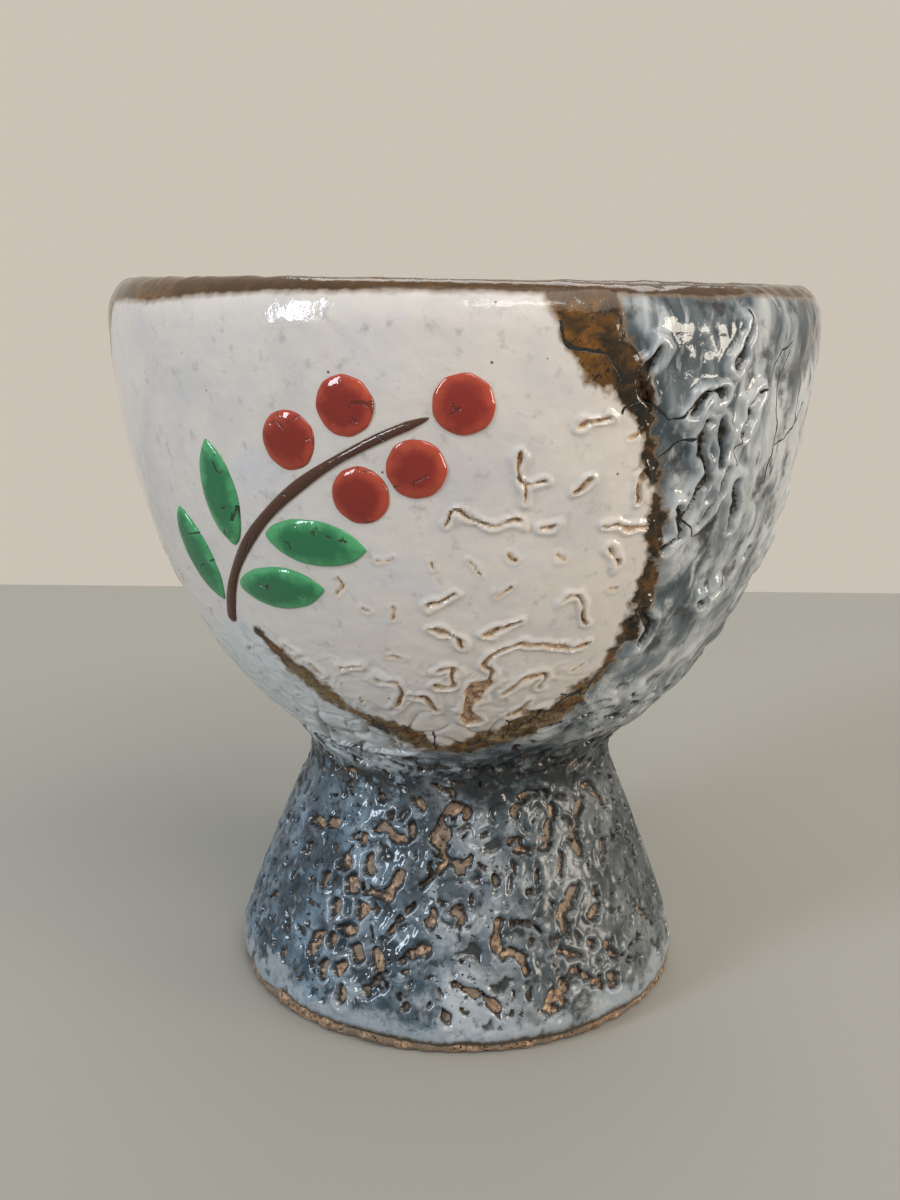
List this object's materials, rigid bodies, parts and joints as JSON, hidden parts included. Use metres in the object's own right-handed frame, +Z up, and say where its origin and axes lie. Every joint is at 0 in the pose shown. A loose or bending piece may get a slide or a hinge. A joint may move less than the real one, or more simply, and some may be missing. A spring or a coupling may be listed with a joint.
{
  "type": "sake cup",
  "caption": "Deep round sake cup on a flared hollow pedestal foot, with crawled glaze fields, an iron lip and a small enamel sprig.",
  "frame": {"origin": "centre of the foot ring, on the surface that the cup stands on", "axes": "+Z up along the cup's axis; the decorated front faces -Y"},
  "size_m": [0.0638, 0.0642, 0.066],
  "materials": {
    "clay": "coarse unglazed stoneware, matt",
    "slip": "matt clay slip",
    "lining": "smooth milky glaze",
    "iron": "glossy iron-brown glaze",
    "white_glaze": "thick crawled milky glaze, glossy",
    "grey_glaze": "thick crawled blue-grey glaze, glossy",
    "brown_enamel": "raised glossy enamel",
    "green_enamel": "raised glossy translucent enamel",
    "red_enamel": "raised glossy enamel"
  },
  "bodies": {
    "root": {"bowl_body": "clay", "foot_body": "clay", "luting_slip": "slip", "lining_glaze": "lining", "rim_iron": "iron", "foot_glaze": "grey_glaze", "white_glaze": "white_glaze", "grey_glaze": "grey_glaze", "iron_line": "iron", "sprig_stem": "brown_enamel", "leaf_1": "green_enamel", "leaf_2": "green_enamel", "leaf_3": "green_enamel", "leaf_4": "green_enamel", "berry_1": "red_enamel", "berry_2": "red_enamel", "berry_3": "red_enamel", "berry_4": "red_enamel", "berry_5": "red_enamel"}
  },
  "joints": []
}
